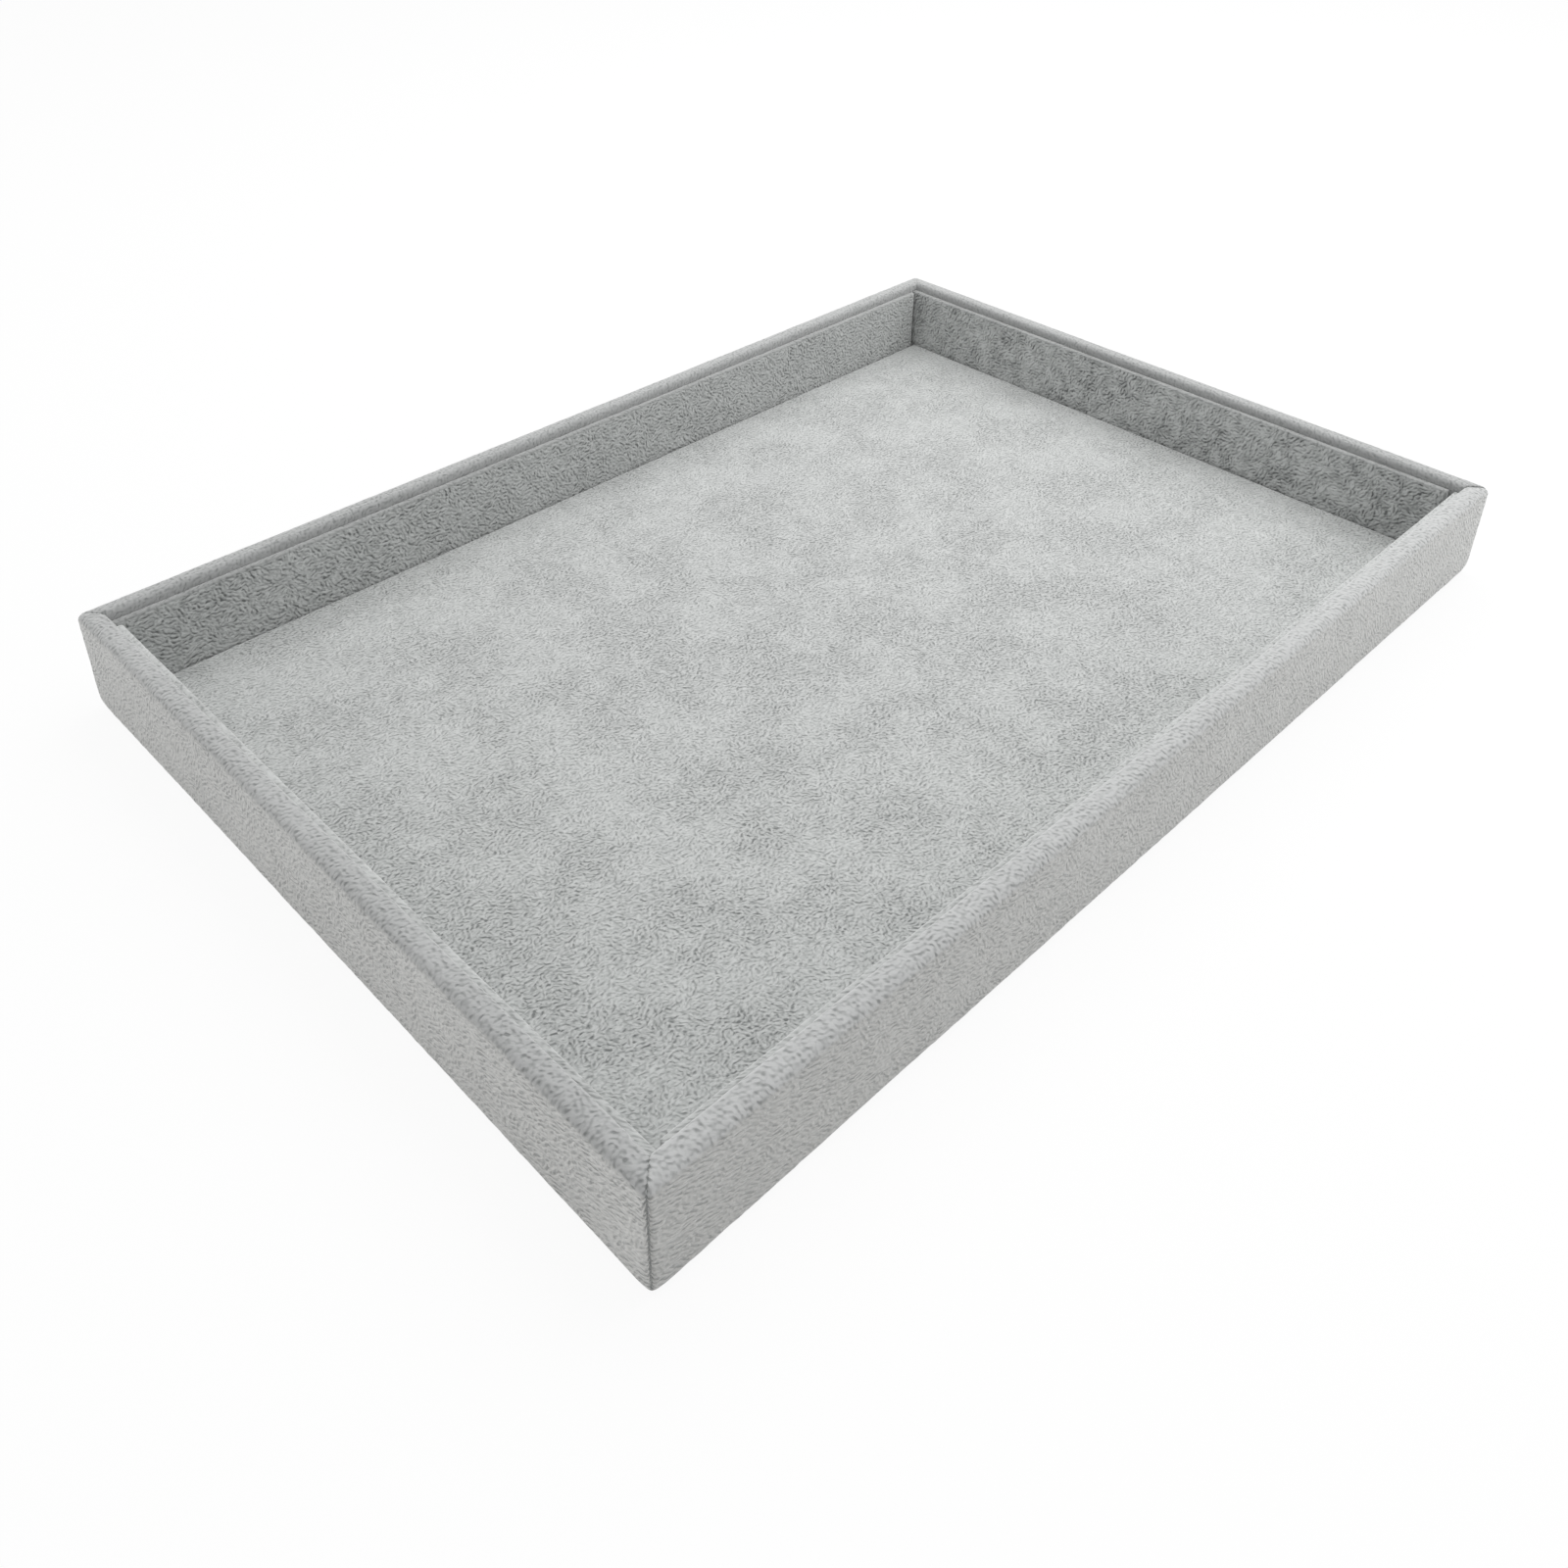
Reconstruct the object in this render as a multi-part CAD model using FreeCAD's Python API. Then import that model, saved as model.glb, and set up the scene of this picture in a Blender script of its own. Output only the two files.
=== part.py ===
"""Velvet-covered jewelry tray: wrapped walls round a base panel, wrapped lining panels and a loose floor pad.

Units are millimetres. X runs along the tray, Y across it and Z up. The origin is under the middle
of the tray, on the surface it stands on. "Front" is the long wall at -Y, "left" the short wall at -X.
"""
import FreeCAD, Part
import os

# Overall size
tray_length = 350.0
tray_width = 240.0
tray_height = 32.0

# Cloth that wraps every visible piece
velvet_thickness = 0.8

# Walls
core_thickness = 4.5
rim_outer_radius = 2.5
rim_inner_radius = 1.5
bottom_edge_radius = 2.5
corner_radius = 2.0
seam_gap = 0.3

# Base
base_thickness = 2.5
bottom_sheet_thickness = 0.5
bottom_sheet_inset = 4.0
bottom_sheet_corner_radius = 3.0

# Lining panels
liner_board_thickness = 1.6
liner_drop = 2.8
liner_edge_radius = 1.0
liner_corner_gap = 1.5
liner_end_clearance = 0.3

# Floor pad
pad_board_thickness = 1.0
pad_foam_thickness = 0.9
pad_clearance = 0.5
pad_edge_radius = 1.0
pad_hem_width = 12.0

# Pins
brad_diameter = 1.0
brad_length = 16.0
brad_set_depth = 0.6
brad_hole_clearance = 0.03
corner_brad_count = 2
long_side_brad_count = 4
short_side_brad_count = 3

# Places worked out from the sizes above
wall_thickness = core_thickness + 2 * velvet_thickness
liner_thickness = liner_board_thickness + velvet_thickness
lined_wall_thickness = wall_thickness + liner_thickness
base_top = bottom_sheet_thickness + base_thickness
core_inner_face = velvet_thickness + core_thickness
core_bottom = bottom_sheet_thickness + velvet_thickness
core_top = tray_height - velvet_thickness
base_brad_height = (core_bottom + base_top) / 2
liner_top = tray_height - liner_drop
pad_core_bottom = base_top + velvet_thickness
pad_foam_bottom = pad_core_bottom + pad_board_thickness
pad_foam_top = pad_foam_bottom + pad_foam_thickness
pad_top = pad_foam_top + velvet_thickness
smallest_radius = 0.05

VERTICAL = FreeCAD.Vector(0, 0, 1)
ORIGIN = FreeCAD.Vector(0, 0, 0)


def save(shape, node):
    """Write one node's solids to its own file."""
    shape.exportStep(os.path.join("parts", node + ".step"))


def box(low, high):
    """Box between two corners."""
    size = [high[axis] - low[axis] for axis in range(3)]
    return Part.makeBox(size[0], size[1], size[2], FreeCAD.Vector(*low))


def upright_edges(solid):
    """Edges that run straight up."""
    return [edge for edge in solid.Edges if abs(edge.tangentAt(edge.FirstParameter).z) > 0.999]


def rounded_prism(length, width, low, high, radius):
    """Upright prism of a rounded rectangle, centred on the origin."""
    prism = box((-length / 2, -width / 2, low), (length / 2, width / 2, high))
    return prism.makeFillet(max(radius, smallest_radius), upright_edges(prism))


def wall_section(inset, bottom):
    """Section of a wall, drawn this far inside its outer skin; Y is the depth into the wall.

    The outer bottom edge and both edges of the rim are round, the inner bottom edge is square.
    """
    outer = inset
    inner = wall_thickness - inset
    top = tray_height - inset
    low_r = max(bottom_edge_radius - inset, smallest_radius)
    rim_r = max(rim_outer_radius - inset, smallest_radius)
    lip_r = max(rim_inner_radius - inset, smallest_radius)

    def at(depth, height):
        return FreeCAD.Vector(0, depth, height)

    def arc(depth, height, radius, side_y, side_z):
        """Quarter round about a centre, towards the given sides."""
        diagonal = radius * 0.5 ** 0.5
        middle = at(depth + side_y * diagonal, height + side_z * diagonal)
        return at(depth + side_y * radius, height), middle, at(depth, height + side_z * radius)

    low_side, low_middle, low_end = arc(outer + low_r, bottom + low_r, low_r, -1, -1)
    rim_side, rim_middle, rim_end = arc(outer + rim_r, top - rim_r, rim_r, -1, 1)
    lip_side, lip_middle, lip_end = arc(inner - lip_r, top - lip_r, lip_r, 1, 1)
    square_corner = at(inner, bottom)
    edges = [
        Part.Arc(low_end, low_middle, low_side).toShape(),
        Part.LineSegment(low_side, rim_side).toShape(),
        Part.Arc(rim_side, rim_middle, rim_end).toShape(),
        Part.LineSegment(rim_end, lip_end).toShape(),
        Part.Arc(lip_end, lip_middle, lip_side).toShape(),
        Part.LineSegment(lip_side, square_corner).toShape(),
        Part.LineSegment(square_corner, low_end).toShape(),
    ]
    return Part.Face(Part.Wire(edges))


def mitred_wall(section, length, width, gap):
    """Run a wall section along the front of a length by width tray and mitre both ends."""
    section = section.copy()
    section.translate(FreeCAD.Vector(-length / 2, -width / 2, 0))
    run = section.extrude(FreeCAD.Vector(length, 0, 0))
    cut_back = gap / 2 * 2 ** 0.5
    outer_half = length / 2 - cut_back
    inner_half = outer_half - wall_thickness
    corners = [
        FreeCAD.Vector(-outer_half, -width / 2, 0),
        FreeCAD.Vector(outer_half, -width / 2, 0),
        FreeCAD.Vector(inner_half, -width / 2 + wall_thickness, 0),
        FreeCAD.Vector(-inner_half, -width / 2 + wall_thickness, 0),
    ]
    mitre = Part.Face(Part.makePolygon(corners + corners[:1])).extrude(VERTICAL * tray_height)
    return run.common(mitre)


def wall_core(length, width):
    """Mitred strip inside a wrapped wall."""
    strip = mitred_wall(wall_section(velvet_thickness, core_bottom), length, width, 0.0)
    envelope = rounded_prism(
        length - 2 * velvet_thickness,
        width - 2 * velvet_thickness,
        core_bottom,
        core_top,
        corner_radius - velvet_thickness,
    )
    return strip.common(envelope)


def wall_cover(length, width):
    """Velvet round a wall: under its bottom edge, up the outside, over the rim and down to the base."""
    outside = mitred_wall(wall_section(0.0, bottom_sheet_thickness), length, width, seam_gap)
    envelope = rounded_prism(length, width, bottom_sheet_thickness, tray_height, corner_radius)
    filling = wall_core(length, width)
    core_face = -width / 2 + core_inner_face
    base_edge = box((-length / 2, core_face, 0), (length / 2, core_face + velvet_thickness, base_top))
    return outside.common(envelope).cut(filling).cut(base_edge)


def liner_ends(length):
    """Ends of a lining along the front of a tray of this length.

    Its right end reaches the next wall, its left end stops short of the lining before it, so that the
    four linings follow each other round the tray.
    """
    left_end = -length / 2 + lined_wall_thickness + liner_corner_gap
    right_end = length / 2 - wall_thickness - liner_end_clearance
    return left_end, right_end


def liner_board(length, width):
    """Card of a lining panel along the front of a length by width tray."""
    left_end, right_end = liner_ends(length)
    back = -width / 2 + wall_thickness
    low = (left_end + velvet_thickness, back, base_top + velvet_thickness)
    high = (right_end - velvet_thickness, back + liner_board_thickness, liner_top - velvet_thickness)
    return box(low, high)


def liner_cover(length, width):
    """Velvet round the face and the edges of a lining panel."""
    left_end, right_end = liner_ends(length)
    back = -width / 2 + wall_thickness
    face = back + liner_thickness
    outside = box((left_end, back, base_top), (right_end, face, liner_top))
    face_edges = [edge for edge in outside.Edges if abs(edge.CenterOfMass.y - face) < 1e-6]
    radius = min(liner_edge_radius, 0.9 * liner_thickness)
    return outside.makeFillet(radius, face_edges).cut(liner_board(length, width))


def pad_outline(inset):
    """Length and width of the floor pad, drawn this far inside its velvet."""
    margin = lined_wall_thickness + pad_clearance + inset
    return tray_length - 2 * margin, tray_width - 2 * margin


def pad_layer(inset, low, high):
    """Flat layer of the floor pad."""
    length, width = pad_outline(inset)
    return box((-length / 2, -width / 2, low), (length / 2, width / 2, high))


def pad_cover():
    """Velvet over the floor pad, round its edges and turned under as a hem."""
    outside = pad_layer(0.0, base_top, pad_top)
    soft_edges = [edge for edge in outside.Edges if edge.BoundBox.ZMax > base_top + velvet_thickness]
    radius = min(pad_edge_radius, 0.9 * (pad_top - base_top))
    outside = outside.makeFillet(radius, soft_edges)
    filling = pad_layer(velvet_thickness, pad_core_bottom, pad_foam_top)
    inside_hem = pad_layer(pad_hem_width, base_top, pad_core_bottom)
    return outside.cut(filling).cut(inside_hem)


def spread(count, span):
    """Evenly spaced places along a span centred on zero, half a step in from each end."""
    step = span / count
    return [(index + 0.5) * step - span / 2 for index in range(count)]


def corner_pins(radius, start_depth, end_depth):
    """Pins through the long walls into the ends of the short ones, seen from the front and the rear."""
    pins = []
    across = tray_length / 2 - velvet_thickness - core_thickness / 2
    wall_height = core_top - base_top
    for side in (-1, 1):
        for x in (-across, across):
            for height in spread(corner_brad_count, wall_height):
                start = FreeCAD.Vector(x, side * (tray_width / 2 - start_depth), base_top + wall_height / 2 + height)
                pins.append(Part.makeCylinder(radius, end_depth - start_depth, start, FreeCAD.Vector(0, -side, 0)))
    return pins


def base_pins(radius, start_depth, end_depth):
    """Pins through all four walls into the edges of the base panel."""
    pins = []
    long_span = tray_length - 2 * lined_wall_thickness
    short_span = tray_width - 2 * lined_wall_thickness
    for side in (-1, 1):
        for x in spread(long_side_brad_count, long_span):
            start = FreeCAD.Vector(x, side * (tray_width / 2 - start_depth), base_brad_height)
            pins.append(Part.makeCylinder(radius, end_depth - start_depth, start, FreeCAD.Vector(0, -side, 0)))
        for y in spread(short_side_brad_count, short_span):
            start = FreeCAD.Vector(side * (tray_length / 2 - start_depth), y, base_brad_height)
            pins.append(Part.makeCylinder(radius, end_depth - start_depth, start, FreeCAD.Vector(-side, 0, 0)))
    return pins


def turned(shape, degrees):
    """Copy of a shape turned about the middle of the tray."""
    copy = shape.copy()
    copy.rotate(ORIGIN, VERTICAL, degrees)
    return copy


def main():
    os.makedirs("parts", exist_ok=True)
    pin_start = velvet_thickness + brad_set_depth
    pin_end = pin_start + brad_length
    pin_radius = brad_diameter / 2
    corner_brads = corner_pins(pin_radius, pin_start, pin_end)
    base_brads = base_pins(pin_radius, pin_start, pin_end)
    hole_radius = pin_radius + brad_hole_clearance
    corner_holes = corner_pins(hole_radius, 0.0, pin_end + brad_hole_clearance)
    base_holes = base_pins(hole_radius, 0.0, pin_end + brad_hole_clearance)
    pin_holes = Part.makeCompound(corner_holes + base_holes)

    # Each wall is made as a front wall, then turned to its side
    sides = {
        "front": (tray_length, tray_width, 0),
        "right": (tray_width, tray_length, 90),
        "rear": (tray_length, tray_width, 180),
        "left": (tray_width, tray_length, 270),
    }
    for side, (length, width, degrees) in sides.items():
        core = turned(wall_core(length, width), degrees).cut(pin_holes)
        save(core, side + "_wall_core")
        save(turned(wall_cover(length, width), degrees), side + "_wall_cover")
        save(turned(liner_board(length, width), degrees), side + "_liner_board")
        save(turned(liner_cover(length, width), degrees), side + "_liner_cover")

    base_length = tray_length - 2 * core_inner_face
    base_width = tray_width - 2 * core_inner_face
    base_low = (-base_length / 2, -base_width / 2, bottom_sheet_thickness)
    base = box(base_low, (base_length / 2, base_width / 2, base_top))
    save(base.cut(Part.makeCompound(base_holes)), "base_board")

    sheet_length = tray_length - 2 * bottom_sheet_inset
    sheet_width = tray_width - 2 * bottom_sheet_inset
    sheet = rounded_prism(sheet_length, sheet_width, 0.0, bottom_sheet_thickness, bottom_sheet_corner_radius)
    save(sheet, "bottom_sheet")

    save(pad_layer(velvet_thickness, pad_core_bottom, pad_foam_bottom), "pad_board")
    save(pad_layer(velvet_thickness, pad_foam_bottom, pad_foam_top), "pad_foam")
    save(pad_cover(), "pad_cover")

    save(Part.makeCompound(corner_brads), "corner_brads")
    save(Part.makeCompound(base_brads), "base_brads")


main()
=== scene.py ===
"""A velvet-covered jewelry tray: its looks, laid out as an add-on and run as a script."""
import math
from collections import namedtuple

import bpy
import numpy as np
from bpy.props import FloatProperty, FloatVectorProperty, PointerProperty
from mathutils import Matrix, Vector


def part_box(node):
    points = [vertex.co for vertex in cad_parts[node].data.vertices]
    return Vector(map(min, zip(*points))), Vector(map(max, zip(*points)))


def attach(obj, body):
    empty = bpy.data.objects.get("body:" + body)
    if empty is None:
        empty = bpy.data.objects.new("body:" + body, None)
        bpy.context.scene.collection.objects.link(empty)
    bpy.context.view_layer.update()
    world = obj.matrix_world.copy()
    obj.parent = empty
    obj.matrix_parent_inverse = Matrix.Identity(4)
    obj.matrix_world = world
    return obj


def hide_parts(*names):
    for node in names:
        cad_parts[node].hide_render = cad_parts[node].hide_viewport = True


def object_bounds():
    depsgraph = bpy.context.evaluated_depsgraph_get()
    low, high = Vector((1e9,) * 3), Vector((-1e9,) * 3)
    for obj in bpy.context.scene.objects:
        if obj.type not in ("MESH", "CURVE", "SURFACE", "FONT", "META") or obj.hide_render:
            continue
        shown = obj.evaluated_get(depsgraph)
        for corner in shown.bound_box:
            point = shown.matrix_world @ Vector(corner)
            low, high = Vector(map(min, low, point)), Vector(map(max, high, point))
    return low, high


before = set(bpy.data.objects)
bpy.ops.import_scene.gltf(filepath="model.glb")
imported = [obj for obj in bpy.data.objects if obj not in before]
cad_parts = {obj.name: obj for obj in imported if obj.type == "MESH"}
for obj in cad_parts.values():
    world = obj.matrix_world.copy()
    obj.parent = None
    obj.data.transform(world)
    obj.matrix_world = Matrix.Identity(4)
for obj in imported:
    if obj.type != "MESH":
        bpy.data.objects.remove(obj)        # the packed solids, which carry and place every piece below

bl_info = {
    "name": "Jewelry Tray",
    "version": (1, 0, 0),
    "blender": (4, 5, 0),
    "location": "3D View > Sidebar > Jewelry Tray",
    "description": "Dresses the tray's boards in velvet, felt and foam, and sets its stage",
    "category": "Object",
}

MM = 0.001
PER_MM = 1000.0
QUARTER_TURN = math.pi / 2
CAD_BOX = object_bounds()

# The walls in order round the tray, each a quarter turn further than the one before.
WALLS = ("front", "right", "rear", "left")

# How the pile lies: the direction of its tufts in degrees, how far it strays, how well it is combed from
# 0 to 1, the size of its ripples, the depth of its creases in relief and in painted shade, how blotchy it
# is, and how patchily brushed.
Lay = namedtuple("Lay", "nap swing comb size contrast mottle brushed")
FLOOR_LAY = Lay(-8.0, 75.0, 0.35, 1.0, 0.95, 0.15, 1.0)
FRONT_WALL_LAY = Lay(-40.0, 20.0, 0.8, 1.0, 0.95, 0.03, 0.4)
LEFT_WALL_LAY = Lay(42.0, 24.0, 0.75, 1.0, 1.05, 0.05, 0.6)
REAR_LINING_LAY = Lay(-26.0, 50.0, 0.55, 1.12, 1.08, 0.08, 0.6)
RIGHT_LINING_LAY = Lay(38.0, 50.0, 0.55, 1.1, 1.1, 0.4, 1.0)
WALL_LAYS = {
    "front": FRONT_WALL_LAY, "right": FRONT_WALL_LAY, "rear": LEFT_WALL_LAY, "left": LEFT_WALL_LAY,
}
LINING_LAYS = {
    "front": REAR_LINING_LAY, "right": RIGHT_LINING_LAY, "rear": REAR_LINING_LAY, "left": RIGHT_LINING_LAY,
}

# Painted shade: multipliers that darken the pile's colour on each wall's face and rim, and along the edges of
# each lining, for how the light falls on them.
WALL_SHADE_TONES = {"front": (0.68, 0.92), "right": (0.97, 0.635), "rear": (0.97, 0.68), "left": (1.0, 0.8)}
LINING_EDGE_SHADE_TONES = {"front": 1.0, "right": 0.55, "rear": 0.55, "left": 1.0}

# The patterns of the pile: how far each swings about the middle of its noise, and its share of the pile's
# height.
Pattern = namedtuple("Pattern", "spread share")
RIPPLES = Pattern(0.085, 0.55)
TUFTS = Pattern(0.13, 0.5)
FIBRES = Pattern(0.13, 0.4)
BLOTCH_SPREAD = 0.13
SWIRL_SPREAD = 0.25
NOISE_MIDDLE = 0.5

# Tufts are pressed flat at one height. The pile takes no painted shade at its top and the most at its foot.
PRESSED_HEIGHT = 0.45
PILE_TOP = 1.0
PILE_FOOT = -2.2

# How many ripples lie side by side in uncombed pile, how many more in combed pile, how combed a pile would
# have endless tufts, and how far single tufts stray.
PLAIN_RIPPLES = 1.17
COMBED_RIPPLES = 1.04
ENDLESS_COMB = 1.35
STRAY_SHARE = 0.35

# How much of its combing and of its fibres the pile keeps where the cloth turns over an edge.
EDGE_COMB = 0.5
EDGE_FIBRES = 0.4

# Where the noise that turns the nap begins to turn it back or on, and where it has fully turned.
TURN_BACK = (0.48, 0.38)
TURN_ON = (0.52, 0.62)

# Between which levels of their noise brushed patches rise, how much shallower their creases are, and how
# much lighter they are.
PATCH_LEVELS = (0.36, 0.64)
BRUSHED_DEPTH = 0.25
BRUSHED_TONE = 0.03

# The velvet's own maps: millimetres along and across the cloth, as it lay flat on the bench, with how deep
# the crevices of the pile are, in relief and in painted shade, as a third number; and where the cloth turns
# over an edge.
CLOTH_MAP = "cloth"
EDGE_MAP = "edge"
PIECE_SPACING = 530.0

# How deep a wall's crevices are, in relief and in painted shade, and how much of an edge it is, as its
# face turns from outward at -1 over the rim to inward at 1; and how deep the crevices are, in relief and in
# painted shade, round the edge of a panel.
WALL_CREVICE_DEPTH_AND_SHADE = ((-1.0, -0.6, 0.2, 0.7, 1.0), (0.9, 0.76, 0.74, 0.63, 0.57))
WALL_EDGE = ((-1.0, -0.9), (0.0, 1.0))
PANEL_EDGE_CREVICE_DEPTH_AND_SHADE = 0.6

# Where the columns of the mesh stand on the lip of a seam, as shares of its roll, and how much deeper the
# crevices of the pile are in the seam, in relief and in painted shade that stands in for the groove's shadow.
LIP_SHARES = (0.0, 0.1, 0.2, 0.3, 0.45, 0.65)
SEAM_CREVICE_SHADE = 4.0

# How far the pile closes over the seam at each wall's left and right end, seen from outside the tray.
SEAM_CLOSING = {"front": (0.4, 0.0), "right": (0.0, 0.6), "rear": (0.6, 0.75), "left": (0.75, 0.4)}

# How far each wall's left and right bottom corner is eased in by the fold of the cloth, in millimetres.
CORNER_EASE = {"front": (0.8, 0.9), "right": (0.9, 0.8), "rear": (0.8, 0.9), "left": (0.9, 0.8)}

# How near a point of a panel's mesh has to be to a ring of its cloth to belong to it.
RING_TOLERANCE = 0.01 * MM

# The stage: a large paper floor just below the tray, mostly plain white to the camera, and a softbox.
PAPER_SIZE = 6.0
PAPER_DROP = 0.1 * MM
PAPER_WHITE = 0.92
SOFTBOX_PLACE = (0.42, 0.06, 0.6)
SOFTBOX_SIZE = 0.9

# The camera: its place in millimetres, its angles in degrees, its sensor and lens, and its shifts.
CAMERA_PLACE = (-270.53, -245.26, 265.87)
CAMERA_ANGLES = (59.4295, -0.493, -44.4466)
CAMERA_SENSOR = 36.0
CAMERA_LENS = 33.746
CAMERA_SHIFT = (0.00855, -0.1875)
CAMERA_CLIP = 0.01


def linear(code):
    """Turns an sRGB hex colour into linear red, green and blue."""
    shares = [int(code[i:i + 2], 16) / 255 for i in (1, 3, 5)]
    return tuple(s / 12.92 if s <= 0.04045 else ((s + 0.055) / 1.055) ** 2.4 for s in shares)


def length(name, description, default_mm):
    """A length property, written in millimetres and kept in metres."""
    return FloatProperty(
        name=name, description=description, default=default_mm * MM, min=0.0, precision=5, unit="LENGTH"
    )


def colour(name, description, code):
    """A colour property, written as an sRGB hex value."""
    return FloatVectorProperty(
        name=name, description=description, default=linear(code), min=0.0, max=1.0, subtype="COLOR"
    )


class TrayWraps(bpy.types.PropertyGroup):
    """How the cloth is wrapped round the boards."""

    cloth: length("Cloth thickness", "Backing and pile of the velvet together", 0.6)
    cell: length("Mesh cell", "Size of a face on the walls and linings", 0.75)
    floor_cell: length("Floor mesh cell", "Size of a face on the floor pad", 1.45)
    round_cell: length("Rounded mesh cell", "Size of a face on a rounded edge", 0.45)
    hidden_cell: length("Hidden mesh cell", "Size of a face on a hidden stretch", 3.0)
    rim_outer: length("Outer rim radius", "Round of the rim on the outside", 2.5)
    rim_inner: length("Inner rim radius", "Round of the rim on the inside", 1.5)
    bottom_edge: length("Bottom edge radius", "Round of a wall's bottom edge", 2.5)
    wall_hem: length("Wall hem", "Cloth turned under a wall", 2.6)
    bare_rim: length("Bare rim", "Height of a wall's inner face that stands above the linings", 3.4)
    seam_roll: length("Seam roll", "Radius with which the cloth turns into a corner seam", 1.8)
    seam_depth: length("Seam depth", "How far the cloth runs into a corner seam", 0.4)
    seam_press: length("Seam press", "How far the cloths of two walls press into each other at a seam", 0.4)
    # The seam shade is how far from a corner seam its painted shade reaches.
    seam_shade: length("Seam shade", "How far from a corner seam the pile stands open", 0.85)
    ease_reach: length("Ease reach", "How far from a bottom corner the cloth is eased in", 6.0)
    panel_edge: length("Panel edge radius", "Round of a lining's or the floor pad's edge", 0.75)
    liner_hem: length("Lining hem", "Cloth turned behind a lining", 8.0)
    pad_hem: length("Floor pad hem", "Cloth turned under the floor pad", 12.0)
    tuft_relief: length("Tuft relief", "Height of the pile's tufts in the mesh", 0.16)
    tuft_spread: length("Tuft spread", "Distance from tuft to tuft in the mesh", 2.4)
    sway_relief: length("Sway relief", "Height of the cloth's slow unevenness", 0.22)
    sway_spread: length("Sway spread", "Distance over which the cloth is uneven", 34.0)


class TrayPile(bpy.types.PropertyGroup):
    """The velvet's pile."""

    floor: colour("Floor pile", "Colour of the pile on the floor pad", "#C0C2C1")
    lining: colour("Lining pile", "Colour of the pile on the linings", "#C0C2C1")
    outside: colour("Outer pile", "Colour of the pile on the outside of the walls", "#CBCAC7")
    rim: colour("Rim pile", "Colour of the pile where it turns over the rim", "#C5C6C6")
    # Painted shade: these crevice colours darken the pile between its tufts, where shade falls.
    crevice_shade: colour("Crevice", "Colour between the tufts", "#5C605F")
    lining_crevice_shade: colour("Lining crevice", "Colour between the tufts of the linings", "#3C403F")
    sheen: colour("Sheen", "Colour of the light along the pile", "#FAFBFA")
    ripple: length("Ripple", "Distance from ripple to ripple of the pile", 1.2)
    edge_ripple: length("Edge ripple", "Distance from ripple to ripple on an edge", 1.35)
    tuft_width: length("Tuft width", "Width of a tuft across the nap", 0.9)
    tuft_length: length("Tuft length", "Length of a tuft along the nap", 2.2)
    fibre_width: length("Fibre width", "Width of a strand of fibres", 0.65)
    fibre_length: length("Fibre length", "Length of a strand of fibres", 1.25)
    curl: length("Curl", "Width of a curl of the pile on an edge", 1.5)
    stray: length("Stray", "Distance over which single tufts stray", 1.7)
    swirl: length("Swirl", "Distance over which the nap turns", 6.5)
    blotch: length("Blotch", "Width of the blotches in an uneven pile", 5.5)
    brushing: length("Brushing", "Width of the brushed patches", 24.0)
    depth: length("Pile depth", "Height of the tufts in the shading", 0.3)
    lean: length("Nap lean", "Height of the brushed patches' lean in the shading", 0.8)


class TrayStage(bpy.types.PropertyGroup):
    """The light and the backdrop."""

    paper: colour("Paper", "Colour of the floor paper", "#F4F4F4")
    sky: FloatProperty(name="Sky", description="Level of the light from all round", default=0.66)
    lamp: FloatProperty(name="Lamp", description="Power of the overhead softbox", default=4.8, unit="POWER")


GROUPS = {"tray_wraps": TrayWraps, "tray_pile": TrayPile, "tray_stage": TrayStage}


def add_node(tree, kind, inputs=None, **settings):
    """Adds a node, sets it, and gives each of its inputs a value or a link."""
    node = tree.nodes.new("ShaderNode" + kind)
    for name, value in settings.items():
        setattr(node, name, value)
    for socket, value in (inputs or {}).items():
        if isinstance(value, bpy.types.NodeSocket):
            tree.links.new(value, node.inputs[socket])
        else:
            node.inputs[socket].default_value = value
    return node


def calculate(tree, operation, *values, kind="Math", **settings):
    """Does a sum with two or three values or sockets."""
    return add_node(tree, kind, dict(enumerate(values)), operation=operation, **settings).outputs[0]


def ramp(tree, value, begin, full, low=0.0, high=1.0, **settings):
    """Maps a value that runs from begin to full onto one that runs from low to high."""
    return add_node(tree, "MapRange", {
        "Value": value, "From Min": begin, "From Max": full, "To Min": low, "To Max": high,
    }, **settings).outputs["Result"]


def wave(tree, value, spread, share):
    """Centres a pattern on nought and gives it its share of the height."""
    return ramp(tree, value, NOISE_MIDDLE - spread, NOISE_MIDDLE + spread, -share, share, clamp=False)


def blend(tree, share, first, second):
    """Mixes two patterns. A mix node takes numbers at its sockets 2 and 3."""
    return add_node(tree, "Mix", {0: share, 2: first, 3: second}).outputs[0]


def blend_colours(tree, share, first, second):
    """Mixes two colours. A mix node takes colours at its sockets 6 and 7."""
    return add_node(tree, "Mix", {0: share, 6: first, 7: second}, data_type="RGBA").outputs[2]


def bump(tree, distance, height):
    """Relief in the shading, which stands out by that distance where the height is one."""
    return add_node(tree, "Bump", {"Strength": 1.0, "Distance": distance, "Height": height}).outputs["Normal"]


def cloth_noise(tree, place, size, detail, result="Fac"):
    """Noise that lies in the flat cloth, with grains of that size."""
    return add_node(tree, "TexNoise", {
        "Vector": place, "Scale": 1 / (size * PER_MM), "Detail": detail, "Roughness": 0.55,
    }, noise_dimensions="2D").outputs[result]


def solid_noise(tree, size_mm, detail, roughness=0.5, distortion=0.0):
    """Noise that runs through a whole piece, with grains of that size in millimetres."""
    return add_node(tree, "TexNoise", {
        "Vector": add_node(tree, "TexCoord").outputs["Object"], "Scale": PER_MM / size_mm,
        "Detail": detail, "Roughness": roughness, "Distortion": distortion,
    }).outputs["Fac"]


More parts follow.
